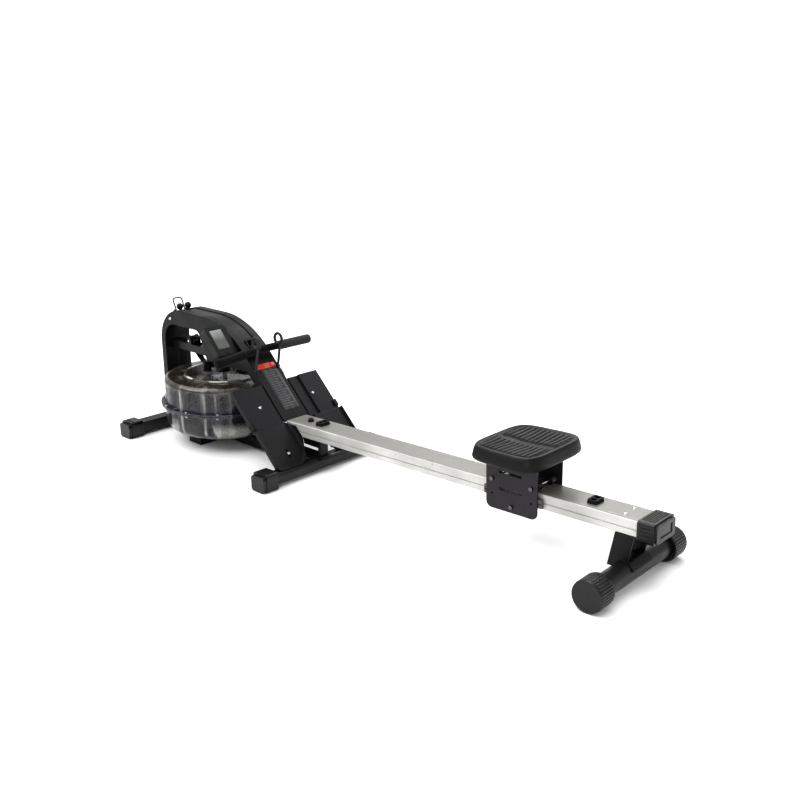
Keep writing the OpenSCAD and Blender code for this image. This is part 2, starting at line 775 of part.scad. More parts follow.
// Leg under the rail's tail: a flange, two tapered side plates and a saddle on the tail tube
module rear_leg() {
    top_z = rail_tail_z - rail_h - 0.4;
    front_z = top_z - 31 * tan(rail_tilt);
    rear_z = top_z + 22 * tan(rail_tilt);
    color("#202022") difference() {
        union() {
            both_sides() across(40, 44) polygon([[tail_x - 31, front_z], [tail_x + 22, rear_z],
                [tail_x + 6, tail_z + 8], [tail_x - 47, tail_z + 8]]);
            across(-44, 44) polygon([[tail_x - 31, front_z], [tail_x + 22, rear_z],
                [tail_x + 21, rear_z - 4], [tail_x - 32, front_z - 4]]);
            translate([tail_x, -48, tail_z]) rotate([-90, 0, 0]) difference() {
                cylinder(r = tail_tube_r + 3, h = 96, $fn = 96);
                translate([-60, -12, -1]) cube([120, 60, 98]);
            }
        }
        translate([tail_x, -60, tail_z]) rotate([-90, 0, 0]) cylinder(r = tail_tube_r, h = 120, $fn = 96);
    }
}

module rear_tube() {
    half = tail_half - 8;
    color("#202022") translate([tail_x, -half, tail_z]) rotate([-90, 0, 0]) difference() {
        cylinder(r = tail_tube_r, h = 2 * half, $fn = 96);
        translate([0, 0, -1]) cylinder(r = tail_tube_r - tube_wall, h = 2 * half + 2, $fn = 96);
    }
}

module rear_cap() {
    color("#1a1a1c") translate([tail_x, -tail_half, tail_z]) rotate([-90, 0, 0]) difference() {
        union() {
            cylinder(r = cap_r - 1.6, h = cap_len, $fn = 96);
            for (k = [0 : 35]) rotate([0, 0, 10 * k]) translate([cap_r - 2.2, 0, 5])
                cylinder(r = 2.2, h = cap_len - 9, $fn = 16);
        }
        translate([0, 0, 7]) cylinder(r = tail_tube_r + fit, h = cap_len, $fn = 96);
    }
}

module rear_cap_left() { rear_cap(); }
module rear_cap_right() { mirror([0, 1, 0]) rear_cap(); }

// ---- Footrests ----

pedal_in = 58;

// Folded sheet plate: main face, sunk inner strip and lips at both edges
module footplate() {
    on_slope(plate_top, slope_plate()) {
        translate([0, -pedal_out + 3, -3]) cube([plate_len, pedal_out - 103, 3]);
        translate([0, -pedal_out, -16]) cube([plate_len, 3, 16]);
        translate([0, -103, -9]) cube([plate_len, 3, 9]);
        translate([0, -100, -9]) cube([plate_len, 100 - pedal_in, 3]);
        translate([0, -pedal_in - 3, -34]) cube([plate_len, 3, 26]);
        translate([plate_len - 30, -130, -9]) cube([150, 28, 3]);
        translate([plate_len - 30, -130, -7]) cube([28, 28, 5]);
    }
}

module footplate_cut() {
    difference() {
        footplate();
        for (s = [0.5 * plate_len, heel_screw_s])
            on_slope(plate_top, slope_plate() + s) translate([0, -116, -20]) cylinder(r = 3.6, h = 40);
    }
}

module footplate_left() { color("#333236") footplate_cut(); }
module footplate_right() { color("#333236") mirror([0, 1, 0]) footplate_cut(); }

// Moulded heel rest: shallow tray with a raised rim and a rounded inner corner, its lower
// end cut level so that it ends just above the crossbar
module heel_rest() {
    len = 152;
    wid = pedal_out + 4 - pedal_in;
    color("#2f2e32") difference() {
        on_slope(plate_top, slope_plate() + plate_len + 2) translate([0, -pedal_out - 4, -2]) difference() {
            linear_extrude(16) heel_outline(len, wid, 0);
            translate([0, 0, 9.5]) linear_extrude(10) heel_outline(len - 5, wid, 5);
            translate([-1, 3.7, -1]) cube([len + 2, wid - 7.4, 5.4]);
            translate([heel_screw_s - plate_len - 2, pedal_out + 4 - 116, -5])
                linear_extrude(20) round_rect(30, 7, 3.4);
        }
        translate([foot_mid_x - 60, -pedal_out - 10, 0]) cube([120, 140, bar_z0 + bar_h + 0.6]);
    }
}

module heel_outline(len, wid, i) {
    r = 42;
    polygon(concat([[i > 0 ? -5 : 0, i], [len - 14, i]], arc(len - 14, 14, 14 - i, -90, 0, 6),
        arc(len - r, wid - r, r - i, 0, 90, 10), [[i > 0 ? -5 : 0, wid - i]]));
}

module heel_rest_left() { heel_rest(); }
module heel_rest_right() { mirror([0, 1, 0]) heel_rest(); }

module foot_straps() {
    color("#17171a") both_sides() on_slope(plate_top, slope_plate() + plate_len - 34)
        translate([0, -pedal_out - 2.5, -14]) {
            cube([26, 2, 17]);
            translate([2, 0, 17]) cube([22, 14, 2]);
        }
}

// ---- Seat ----

module on_seat() { on_rail() translate([seat_s, 0, 0]) children(); }

// Plan of the seat: wide at the back, drawn in towards the front, round corners
function seat_plan(k) = [for (a = [0 : 6 : 354]) let (c = cos(a), s = sin(a),
    px = 108 * k * sign(c) * pow(abs(c), 0.42), py = sign(s) * pow(abs(s), 0.42))
    [px, py * k * (131 + 0.06 * px)]];

module seat_pad() {
    color("#29292b") on_seat() translate([5, 0, plate_top_h + 12.4]) {
        linear_extrude(20) polygon(seat_plan(1));
        translate([0, 0, 19.9]) linear_extrude(14.7) polygon(seat_plan(0.93));
    }
}

module seat_base() {
    color("#1e1e20") on_seat() {
        translate([5, 0, plate_top_h + 4.3]) linear_extrude(7.6) polygon(seat_plan(0.84));
        translate([-plate_half, -carriage_w / 2, plate_top_h + 0.1]) cube([2 * plate_half, carriage_w, 4.2]);
    }
}

module side_plate() {
    r = 18;
    y0 = -carriage_w / 2;
    across(y0, y0 + plate_t) difference() {
        polygon(concat([[-plate_half, plate_top_h], [-plate_half, plate_low_h + r]],
            arc(-plate_half + r, plate_low_h + r, r, 180, 270, 6),
            arc(plate_half - r, plate_low_h + r, r, 270, 360, 6), [[plate_half, plate_top_h]]));
        for (p = axle_places()) translate(p) circle(axle_r);
        for (z = [36, -12]) translate([-4, z]) round_rect(74, 7, 3.4);
        for (x = [-roller_s, roller_s]) translate([x, -30]) circle(3);
    }
}

module side_plates() { color("#3a393d") on_seat() both_sides() side_plate(); }

function axle_places() = [[-roller_s, roller_r], [roller_s, roller_r], [0, low_roller_h]];

module carriage_bolts() {
    color("#b9bbc0") on_seat() for (p = axle_places())
        translate([p[0], 0, p[1]]) rotate([90, 0, 0]) {
            translate([0, 0, -carriage_w / 2 - 4]) cylinder(r = axle_r, h = carriage_w + 8);
            translate([0, 0, carriage_w / 2 + 0.05]) cylinder(r = 6.4, h = 4.5, $fn = 6);
            translate([0, 0, -carriage_w / 2 - 4.55]) cylinder(r = 6.4, h = 4.5, $fn = 6);
        }
}

// Nylon blocks behind the plates' edges that keep the carriage central on the rail
module guide_pads() {
    inner = carriage_w / 2 - plate_t - 0.1;
    color("#9a9a9c") on_seat() both_sides() for (side = [-1, 1])
        translate([side * (plate_half - 2), -inner, -38]) difference() {
            translate([-12, 0, 0]) cube([24, inner - rail_w / 2 - 0.5, 24]);
            translate([side * 7, 5, 12]) rotate([90, 0, 0]) cylinder(r = 3, h = 8);
        }
}

// Pair of rollers on one axle, with rims that run outside the rail's grooves
module roller_pair(s, h) {
    color("#8a8a8c") on_seat() both_sides() translate([s, 22, h]) rotate([-90, 0, 0]) difference() {
        union() {
            cylinder(r = roller_r, h = 18);
            translate([0, 0, 18]) cylinder(r = roller_r - 2, h = 6);
        }
        translate([0, 0, -1]) cylinder(r = axle_r + fit, h = 30);
    }
}

module roller_front() { roller_pair(-roller_s, roller_r + 0.02); }
module roller_rear() { roller_pair(roller_s, roller_r + 0.02); }
module roller_lower() { roller_pair(0, low_roller_h); }

base_beam();
front_crossbar();
mid_crossbar();
tank_cradle();
front_feet();
mid_feet();
arch_frame();
arch_shell_left();
arch_shell_right();
top_channel();
machine_screws();
decal();
pulley_bridge();
pulley_pins();
recoil_cord();
strap_guide();
handle_hooks();
console_housing();
console_screen();
console_button();
phone_bracket();
phone_rest();
tank_bowl();
tank_dome();
tank_gasket();
tank_bolts();
fill_plug();
drive_shaft();
impeller();
spool();
idler_pulley();
guide_roller();
pull_strap();
strap_clip();
handle_bar();
handle_grips();
rail();
rail_cheeks();
rail_post();
rail_stops();
rail_knob();
rail_end_cap();
rear_leg();
rear_tube();
rear_cap_left();
rear_cap_right();
footplate_left();
footplate_right();
heel_rest_left();
heel_rest_right();
foot_straps();
seat_pad();
seat_base();
side_plates();
carriage_bolts();
guide_pads();
roller_front();
roller_rear();
roller_lower();
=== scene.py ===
"""Water rowing machine: final surfaces, soft pieces, stage, lights and camera.

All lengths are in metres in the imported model's frame: X along the rail towards the tail, Y across, Z up.
"""

import math

import bmesh
import bpy
from mathutils import Matrix, Vector


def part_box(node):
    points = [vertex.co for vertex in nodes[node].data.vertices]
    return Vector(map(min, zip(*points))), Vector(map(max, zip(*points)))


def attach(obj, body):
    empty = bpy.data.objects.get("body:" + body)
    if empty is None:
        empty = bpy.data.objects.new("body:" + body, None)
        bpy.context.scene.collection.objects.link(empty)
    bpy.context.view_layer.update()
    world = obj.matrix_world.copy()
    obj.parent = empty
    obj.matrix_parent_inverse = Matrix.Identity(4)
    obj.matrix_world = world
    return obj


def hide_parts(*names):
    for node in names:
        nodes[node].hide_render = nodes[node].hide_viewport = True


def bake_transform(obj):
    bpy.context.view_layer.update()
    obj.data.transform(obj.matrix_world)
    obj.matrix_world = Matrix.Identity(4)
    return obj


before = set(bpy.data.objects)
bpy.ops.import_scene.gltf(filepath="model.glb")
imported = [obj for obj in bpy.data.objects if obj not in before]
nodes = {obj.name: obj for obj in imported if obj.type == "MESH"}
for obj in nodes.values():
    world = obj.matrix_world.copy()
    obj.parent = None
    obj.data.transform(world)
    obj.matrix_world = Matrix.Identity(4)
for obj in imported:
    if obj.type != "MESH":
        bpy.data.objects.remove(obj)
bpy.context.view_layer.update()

# ---- Stations taken from the CAD ----

def centre(node):
    """Middle of a CAD node's box."""
    low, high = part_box(node)
    return (low + high) / 2


TAIL_X = centre("rear_tube").x
RAIL_TOP_Z = 0.1896                     # top of the rail above the tail tube
RAIL_TILT = math.radians(1.6)
SEAT_S = -0.338                         # seat's place along the rail
BEAM_SUM = TAIL_X - 1.110               # x + z along the sloping beam's top face
BEAM_SLOPE = math.radians(45)
RIM_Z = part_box("tank_dome")[1].z        # top of the ring round the lid
HANDLE_X = TAIL_X - 1.440               # middle of the handle's bar
HANDLE_Z = 0.355


def on_rail(s):
    """Matrix of the rail's own frame, s metres along it."""
    return (Matrix.Translation((TAIL_X, 0, RAIL_TOP_Z)) @ Matrix.Rotation(-RAIL_TILT, 4, "Y")
            @ Matrix.Translation((s, 0, 0)))


def on_beam(x):
    """Matrix on the sloping beam's face at this x: local X down the slope, local Z out of the face."""
    return Matrix.Translation((x, 0, BEAM_SUM - x)) @ Matrix.Rotation(BEAM_SLOPE, 4, "Y")


# ---- Materials ----

BLACK = (0.0080, 0.0080, 0.0088)
DUST = (0.30, 0.29, 0.28)
DRAWN = (4.0, 220.0, 220.0)             # stretch of noise that gives drawn lines along X


def rgba(c):
    """Colour with full opacity."""
    return (c[0], c[1], c[2], 1.0)


def scaled(c, k):
    """Colour k times as bright."""
    return tuple(min(1.0, v * k) for v in c)


class Surface:
    """Principled material with noise-driven colour, roughness and bump, rounded edges, and edge wear with
    painted edge highlights.
    """

    def __init__(self, name, colour, rough, metallic=0.0, coat=0.0, specular=0.32):
        self.mat = bpy.data.materials.new(name)
        self.mat.use_nodes = True
        self.tree = self.mat.node_tree
        self.shader = self.tree.nodes["Principled BSDF"]
        self.shader.inputs["Metallic"].default_value = metallic
        self.shader.inputs["Coat Weight"].default_value = coat
        self.shader.inputs["Coat Roughness"].default_value = 0.12
        self.shader.inputs["Specular IOR Level"].default_value = specular
        self.coords = self.add("ShaderNodeTexCoord").outputs["Object"]
        self.colour = None
        self.base(colour, rough)

    def add(self, kind, **settings):
        """Node of a kind; a setting goes to the input of that name, or else to the property."""
        node = self.tree.nodes.new(kind)
        for key, value in settings.items():
            if key in node.inputs:
                node.inputs[key].default_value = value
            else:
                setattr(node, key, value)
        return node

    def link(self, a, b):
        self.tree.links.new(a, b)

    def put(self, socket, value):
        """Give an input a number, a colour or another node's output."""
        if isinstance(value, (int, float)):
            socket.default_value = value
        elif isinstance(value, tuple):
            socket.default_value = rgba(value)
        else:
            self.link(value, socket)

    def split(self, vector):
        """Outputs X, Y and Z of a vector."""
        node = self.add("ShaderNodeSeparateXYZ")
        self.link(vector, node.inputs[0])
        return node.outputs

    def normal(self):
        return self.add("ShaderNodeNewGeometry").outputs["Normal"]

    def noise(self, scale, detail=3.0, stretch=None):
        """Noise over the object's own coordinates, stretched by a factor along each axis."""
        n = self.add("ShaderNodeTexNoise", Scale=scale, Detail=detail)
        source = self.coords
        if stretch:
            m = self.add("ShaderNodeMapping")
            m.inputs["Scale"].default_value = stretch
            self.link(source, m.inputs["Vector"])
            source = m.outputs["Vector"]
        self.link(source, n.inputs["Vector"])
        return n.outputs["Fac"]

    def ranged(self, value, low, high, start=0.3, end=0.7):
        """Value carried from start..end to low..high and held there outside it."""
        m = self.add("ShaderNodeMapRange")
        for key, v in (("From Min", start), ("From Max", end), ("To Min", low), ("To Max", high)):
            m.inputs[key].default_value = v
        self.link(value, m.inputs["Value"])
        return m.outputs["Result"]

    def mix(self, factor, a, b):
        """Colour mix, which becomes the base colour; a and b are colours or sockets."""
        m = self.add("ShaderNodeMix", data_type="RGBA")
        self.link(factor, m.inputs["Factor"])
        self.put(m.inputs[6], a)
        self.put(m.inputs[7], b)
        self.colour = m.outputs[2]
        self.link(self.colour, self.shader.inputs["Base Color"])

    def tint(self, mask, colour, amount=None):
        """Lay a colour over the present one where the mask says; amount thins it."""
        if amount is not None:
            mask = self.math("MULTIPLY", mask, amount)
        self.mix(mask, self.colour, colour)

    def math(self, operation, a, b):
        m = self.add("ShaderNodeMath", operation=operation)
        self.put(m.inputs[0], a)
        self.put(m.inputs[1], b)
        return m.outputs[0]

    def band(self, value, rise, fall):
        """Mask of 1 between a rise and a fall, each given as (start, end)."""
        return self.math("MULTIPLY", self.ranged(value, 0.0, 1.0, *rise), self.ranged(value, 1.0, 0.0, *fall))

    def base(self, colour, rough):
        """Slow variation of colour and polish over the whole piece."""
        self.mix(self.ranged(self.noise(7.0, 5.0), 0.0, 1.0), scaled(colour, 0.82), scaled(colour, 1.2))
        handled = self.ranged(self.noise(16.0, 6.0), max(0.02, rough - 0.07), min(1.0, rough + 0.08))
        self.link(handled, self.shader.inputs["Roughness"])

    def relief(self, height, strength, distance, edge=0.0012):
        """Bump over edges rounded by the given radius."""
        bevel = self.add("ShaderNodeBevel", samples=4, Radius=edge)
        bump = self.add("ShaderNodeBump", Strength=strength, Distance=distance)
        self.link(height, bump.inputs["Height"])
        self.link(bevel.outputs["Normal"], bump.inputs["Normal"])
        self.link(bump.outputs["Normal"], self.shader.inputs["Normal"])
        return bevel

    def edges(self, bevel, colour):
        """Edges lightened where the rounded normal leaves the face's own: partly wear, partly painted edge
        highlight.
        """
        dot = self.add("ShaderNodeVectorMath", operation="DOT_PRODUCT")
        self.link(bevel.outputs["Normal"], dot.inputs[0])
        self.link(self.normal(), dot.inputs[1])
        wear_and_highlight = self.ranged(dot.outputs["Value"], 0.4, 0.0, 0.72, 0.985)
        self.tint(wear_and_highlight, colour, self.ranged(self.noise(60.0, 4.0), 0.25, 1.0))

    def dust(self, amount):
        """Faint dust on faces that look up."""
        settled = self.ranged(self.split(self.normal())["Z"], 0.0, amount, 0.5, 1.0)
        self.tint(settled, DUST, self.ranged(self.noise(45.0, 6.0), 0.2, 1.0))


def moulded(name, colour, rough, grain=900.0, strength=0.25, edge=0.0015, **more):
    """Moulded plastic or rubber: fine spark-eroded grain, slightly worn edges with painted edge highlights, a
    little dust.
    """
    s = Surface(name, colour, rough, **more)
    bevel = s.relief(s.noise(grain, 2.0), strength, 0.0004, edge)
    s.edges(bevel, scaled(colour, 2.2))
    s.dust(0.012)
    return s.mat


def powder(name, colour, rough, edge=0.0015, **more):
    """Powder-coated steel: orange-peel bump with a soft sheen."""
    s = Surface(name, colour, rough, **more)
    peel = s.math("ADD", s.noise(420.0, 2.0), s.noise(90.0, 2.0))
    bevel = s.relief(peel, 0.18, 0.0006, edge)
    # Edges lightened: partly wear, partly painted edge highlight
    s.edges(bevel, scaled(colour, 2.4))
    s.dust(0.010)
    return s.mat


def metal(name, colour, rough):
    """Bare metal with drawn lines along X."""
    s = Surface(name, colour, rough, metallic=1.0)
    lines = s.noise(3.0, 4.0, DRAWN)
    s.relief(lines, 0.12, 0.0003, 0.0008)
    s.tint(s.ranged(lines, 0.0, 0.35), scaled(colour, 0.72))
    return s.mat


def liner_plastic(name):
    """Clear ring wall: strong upright streaks of painted highlight between dark ones."""
    s = Surface(name, (0.030, 0.030, 0.026), 0.08, coat=0.4, specular=0.8)
    streaks = s.noise(1.0, 1.0, (34.0, 34.0, 0.4))
    # Painted highlights: pale upright streaks
    s.tint(s.ranged(streaks, 0.0, 1.0, 0.60, 0.64), (0.50, 0.50, 0.44))
    s.link(s.ranged(streaks, 0.35, 0.70, 0.46, 0.64), s.shader.inputs["Alpha"])
    return s.mat


def axle_bolt(name):
    """Ground axle between the carriage plates, blackened heads outside them."""
    s = Surface(name, (0.62, 0.62, 0.63), 0.26, metallic=1.0)
    s.relief(s.noise(3.0, 4.0, (60.0, 4.0, 60.0)), 0.12, 0.0003, 0.0008)
    across = s.math("ABSOLUTE", s.split(s.coords)["Y"], 0.0)
    s.tint(s.ranged(across, 0.0, 1.0, 0.0465, 0.0475), (0.140, 0.140, 0.145))
    return s.mat


def foam(name, colour):
    """Closed-cell foam: matt, with small open pores."""
    s = Surface(name, colour, 0.88, specular=0.16)
    pores = s.add("ShaderNodeTexVoronoi", Scale=420.0)
    s.link(s.coords, pores.inputs["Vector"])
    s.relief(s.math("ADD", pores.outputs["Distance"], s.noise(882.0, 2.0)), 0.5, 0.0009, 0.002)
    s.tint(s.ranged(pores.outputs["Distance"], 0.0, 0.45, 0.1, 0.7), scaled(colour, 1.7))
    s.shader.inputs["Sheen Weight"].default_value = 0.08
    return s.mat


def webbing(name, colour):
    """Woven strap: rows of yarn along it and across it, from the strap's own UVs in metres."""
    s = Surface(name, colour, 0.85, specular=0.3)
    uv = s.add("ShaderNodeUVMap").outputs["UV"]
    waves = []
    for direction, scale in (("X", 260.0), ("Y", 320.0)):
        w = s.add("ShaderNodeTexWave", bands_direction=direction, Scale=scale, Distortion=0.4)
        s.link(uv, w.inputs["Vector"])
        waves.append(w.outputs["Fac"])
    weave = s.math("MULTIPLY", waves[0], waves[1])
    s.relief(weave, 0.7, 0.0006, 0.0005)
    s.tint(s.ranged(weave, 0.0, 0.55, 0.0, 1.0), scaled(colour, 2.4))
    s.shader.inputs["Sheen Weight"].default_value = 0.3
    return s.mat


def rail_metal(name):
    """Anodised extrusion with drawn lines: paler sides, and painted shade that darkens the upward faces to a
    warm grey top.
    """
    s = Surface(name, (0.53, 0.525, 0.51), 0.34, metallic=0.35, specular=0.5)
    lines = s.noise(3.0, 4.0, DRAWN)
    s.relief(lines, 0.12, 0.0003, 0.002)
    # Painted shade: faces that look up are darkened
    s.tint(s.ranged(s.split(s.normal())["Z"], 0.0, 1.0, 0.75, 0.95), (0.245, 0.240, 0.222))
    s.tint(s.ranged(lines, 0.0, 0.25), (0.20, 0.197, 0.185))
    return s.mat


def tank_plastic(name):
    """Smoked clear plastic: dark wall with upright streaks of painted highlight, painted highlights on the
    rim, olive lid, dark flange.
    """
    s = Surface(name, (0.034, 0.034, 0.038), 0.06, coat=0.5, specular=0.85)
    z = s.split(s.coords)["Z"]
    streaks = s.noise(1.0, 2.0, (30.0, 30.0, 1.6))
    fine = s.noise(1.0, 2.0, (90.0, 90.0, 3.0))
    broad = s.noise(1.0, 1.0, (9.0, 9.0, 2.5))
    # The wall all over, from the smoky ground through streaks of painted highlight to thin lines of painted
    # dark refraction
    s.tint(s.ranged(broad, 0.0, 0.6, 0.40, 0.60), (0.046, 0.040, 0.060))
    s.tint(s.ranged(streaks, 0.0, 0.9, 0.60, 0.68), (0.46, 0.46, 0.42))
    s.tint(s.ranged(fine, 0.0, 0.5, 0.5, 0.66), (0.006, 0.006, 0.008))
    # Bands by height: violet over the flange, painted pale highlights low down, grey base, lid, rim with
    # patches of painted highlight, flange
    s.tint(s.band(z, (0.14, 0.15), (0.155, 0.18)), (0.060, 0.052, 0.13), 0.35)
    # Painted pale highlights in patches low down
    low = s.math("MULTIPLY", s.ranged(z, 1.0, 0.0, 0.085, 0.115), s.ranged(broad, 0.0, 1.0, 0.52, 0.56))
    s.tint(low, (0.50, 0.50, 0.47), 0.8)
    base = s.ranged(z, 1.0, 0.0, 0.058, 0.070)
    s.tint(base, (0.13, 0.13, 0.135), 0.7)
    lid = s.band(z, (RIM_Z - 0.030, RIM_Z - 0.022), (RIM_Z - 0.006, RIM_Z - 0.003))
    s.tint(lid, (0.060, 0.052, 0.036), 0.85)
    rim = s.ranged(z, 0.0, 1.0, RIM_Z - 0.004, RIM_Z - 0.001)
    s.tint(rim, (0.105, 0.094, 0.066))
    # Painted highlights in patches along the rim
    s.tint(rim, (0.80, 0.78, 0.70), s.ranged(s.noise(13.0, 1.0), 0.0, 1.0, 0.46, 0.54))
    flange = s.band(z, (0.1365, 0.138), (0.148, 0.150))
    s.tint(flange, (0.013, 0.012, 0.018), 0.6)
    # Opacity, raised in the same bands
    solid = s.ranged(streaks, 0.24, 0.62, 0.42, 0.66)
    for mask, amount in ((rim, 0.55), (lid, 0.30), (flange, 0.40), (low, 0.20), (base, 0.30)):
        solid = s.math("ADD", solid, s.math("MULTIPLY", mask, amount))
    s.link(s.math("MINIMUM", solid, 0.92), s.shader.inputs["Alpha"])
    s.relief(s.noise(14.0, 3.0, (1.0, 1.0, 0.25)), 0.06, 0.002, 0.003)
    return s.mat


def lcd_glass(name):
    """Reflective liquid-crystal glass: faint cells, with a painted reflection that lightens the upper part in
    cloudy patches.
    """
    s = Surface(name, (0.112, 0.124, 0.112), 0.16, coat=0.5)
    cells = s.add("ShaderNodeTexBrick", Scale=60.0, **{"Mortar Size": 0.012})
    s.link(s.coords, cells.inputs["Vector"])
    s.tint(s.ranged(cells.outputs["Fac"], 0.0, 0.18, 0.0, 1.0), (0.085, 0.098, 0.085))
    low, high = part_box("console_screen")
    # Painted reflection: the upper part is lightened, its lower edge broken up by noise
    cloud = s.math("MULTIPLY", s.noise(60.0, 2.0), 0.016)
    up = s.math("ADD", s.split(s.coords)["Z"], cloud)
    s.tint(s.ranged(up, 0.0, 0.55, low.z + 0.6 * (high.z - low.z), high.z + 0.004), (0.42, 0.43, 0.42))
    s.relief(s.noise(30.0, 2.0), 0.02, 0.0005, 0.001)
    return s.mat


mats = {
    "shell": moulded("casing plastic", (0.0075, 0.0075, 0.0080), 0.40, grain=700.0, edge=0.0045),
    "black_plastic": moulded("black plastic", BLACK, 0.42),
    "caps": moulded("end cap plastic", (0.0068, 0.0068, 0.0078), 0.25, edge=0.003, specular=0.55),
    "steel": powder("black powder coat", BLACK, 0.36),
    "bar_steel": powder("crossbar powder coat", (0.0110, 0.0105, 0.0120), 0.36, edge=0.003, specular=0.5),
    "pedal_steel": powder("footrest powder coat", (0.0105, 0.0092, 0.0118), 0.42, edge=0.002),
    "heel": moulded("heel rest plastic", (0.0110, 0.0100, 0.0120), 0.42, edge=0.003),
    "carriage": powder("carriage powder coat", (0.030, 0.0270, 0.0325), 0.40, edge=0.0015),
    "seat": moulded("moulded seat skin", (0.0075, 0.0075, 0.0072), 0.46, grain=520.0, strength=0.4,
                    edge=0.002),
    "bright": metal("bright screws", (0.70, 0.70, 0.71), 0.28),
    "axle_bolt": axle_bolt("axle bolts"),
    "shaft": metal("ground shaft", (0.45, 0.46, 0.47), 0.3),
    "wire": powder("wire grey", (0.040, 0.040, 0.042), 0.35, edge=0.0005),
    "hooks": powder("hook powder coat", (0.030, 0.030, 0.032), 0.40, edge=0.001),
    "rail": rail_metal("anodised rail"),
    "nylon": moulded("roller nylon", (0.012, 0.012, 0.0125), 0.4, edge=0.001),
    "pads": moulded("guide nylon", (0.11, 0.11, 0.11), 0.45, edge=0.001),
    "channel": powder("channel strip", (0.0130, 0.0130, 0.0140), 0.34, edge=0.001),
    "rubber": moulded("stop rubber", (0.0080, 0.0080, 0.0085), 0.6, grain=1200.0),
    "foam_dark": foam("handle sleeve", (0.0060, 0.0060, 0.0066)),
    # Lighter copy of the handle foam for the right grip: painted light
    "foam_painted_lit": foam("grip foam painted lit", (0.0400, 0.0400, 0.0420)),
    "webbing": webbing("black webbing", (0.0080, 0.0080, 0.0090)),
    "tank": tank_plastic("smoked tank"),
    "liner": liner_plastic("tank liner"),
    "paddle": moulded("paddle plastic", (0.035, 0.035, 0.040), 0.35),
    "console": moulded("console plastic", (0.0095, 0.0095, 0.0100), 0.36, edge=0.004),
    "button": moulded("soft button", (0.020, 0.020, 0.022), 0.6, edge=0.001),
    "lcd": lcd_glass("display glass"),
}

CAD_SURFACES = {
    "shell": ["arch_shell_left", "arch_shell_right"],
    "black_plastic": ["tank_cradle", "phone_bracket", "strap_guide", "fill_plug", "spool", "idler_pulley",
                      "guide_roller", "rail_knob", "seat_base"],
    "caps": ["front_feet", "mid_feet", "rail_end_cap", "rear_cap_left", "rear_cap_right"],
    "steel": ["base_beam", "arch_frame", "rail_cheeks", "rail_post", "rear_leg"],
    "bar_steel": ["front_crossbar", "mid_crossbar", "rear_tube"],
    "hooks": ["handle_hooks"],
    "pedal_steel": ["footplate_left", "footplate_right"],
    "heel": ["heel_rest_left", "heel_rest_right"],
    "carriage": ["side_plates"],
    "channel": ["top_channel", "pulley_bridge"],
    "bright": ["machine_screws", "tank_bolts", "pulley_pins"],
    "shaft": ["drive_shaft"],
    "wire": ["phone_rest", "strap_clip"],
    "rail": ["rail"],
    "nylon": ["roller_front", "roller_rear", "roller_lower"],
    "pads": ["guide_pads"],
    "axle_bolt": ["carriage_bolts"],
    "rubber": ["rail_stops", "tank_gasket", "recoil_cord", "foot_straps"],
    "tank": ["tank_bowl", "tank_dome"],
    "paddle": ["impeller"],
    "console": ["console_housing"],
    "button": ["console_button"],
    "lcd": ["console_screen"],
    "foam_dark": ["handle_bar"],
}


def dress(obj, mat):
    """Give a CAD object one material."""
    if obj.material_slots:
        for holder in obj.material_slots:
            holder.material = mat
    else:
        obj.data.materials.append(mat)


for key, names in CAD_SURFACES.items():
    for n in names:
        dress(nodes[n], mats[key])


# ---- Mesh building ----

def in_scene(name, data):
    """Object with this data, in the scene."""
    obj = bpy.data.objects.new(name, data)
    bpy.context.scene.collection.objects.link(obj)
    return obj


def mesh_piece(name, verts, faces, mat, body, uvs=None, smooth=True):
    """Mesh object from points and faces, with a material, riding on a body."""
    mesh = bpy.data.meshes.new(name)
    mesh.from_pydata([tuple(v) for v in verts], [], faces)
    if uvs:
        layer = mesh.uv_layers.new(name="UVMap")
        for loop in mesh.loops:
            layer.data[loop.index].uv = uvs[loop.vertex_index]
    bm = bmesh.new()
    bm.from_mesh(mesh)
    bmesh.ops.recalc_face_normals(bm, faces=bm.faces)
    bm.to_mesh(mesh)
    bm.free()
    for p in mesh.polygons:
        p.use_smooth = smooth
    obj = in_scene(name, mesh)
    obj.data.materials.append(mat)
    if body:
        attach(obj, body)
    return obj


def circle(steps):
    """Angles once round."""
    return [2 * math.pi * i / steps for i in range(steps)]


def loft(rings, closed_ends=True):
    """Points and faces that join equal rings; the ends close with a fan around their centres."""
    n = len(rings[0])
    verts = [p for ring in rings for p in ring]
    faces = []
    for i in range(len(rings) - 1):
        for k in range(n):
            m = (k + 1) % n
            faces.append((i * n + k, i * n + m, (i + 1) * n + m, (i + 1) * n + k))
    if closed_ends:
        for start, ring in ((0, rings[0]), ((len(rings) - 1) * n, rings[-1])):
            hub = len(verts)
            verts.append(sum((Vector(p) for p in ring), Vector()) / n)
            faces += [(hub, start + k, start + (k + 1) % n) for k in range(n)]
    return verts, faces


# ---- Seat ----

PAD_HALF_X = 0.1105
PAD_HALF_Y = 0.1345
PAD_FLARE = 0.06                        # the pad is wider towards the tail
PAD_CORNER = 4.8                        # exponent of the plan's rounded corners
PAD_LOW = 0.0864                        # pad's lower face above the rail's top
PAD_HIGH = 0.1174                       # pad's rim above the rail's top
PAD_BACK = 0.005                        # from the carriage's middle to the pad's, towards the tail
PAD_CELLS = (168, 120)                  # faces of its top along X and Y
RIB_PITCH = 0.0150
RIB_HEIGHT = 0.0030
# Side of the pad from its lower edge to its rim: (height over PAD_LOW, share of the plan's radius)
PAD_SKIRT = [(0.0002, 0.790), (-0.0050, 0.830), (-0.0072, 0.868), (-0.0078, 0.925), (-0.0070, 0.968),
             (-0.0040, 0.991), (0.0010, 0.999), (0.0070, 0.992), (0.0140, 0.981), (0.0200, 0.970),
             (0.0255, 0.957), (0.0290, 0.945), (0.0312, 0.932), (0.0320, 0.915)]


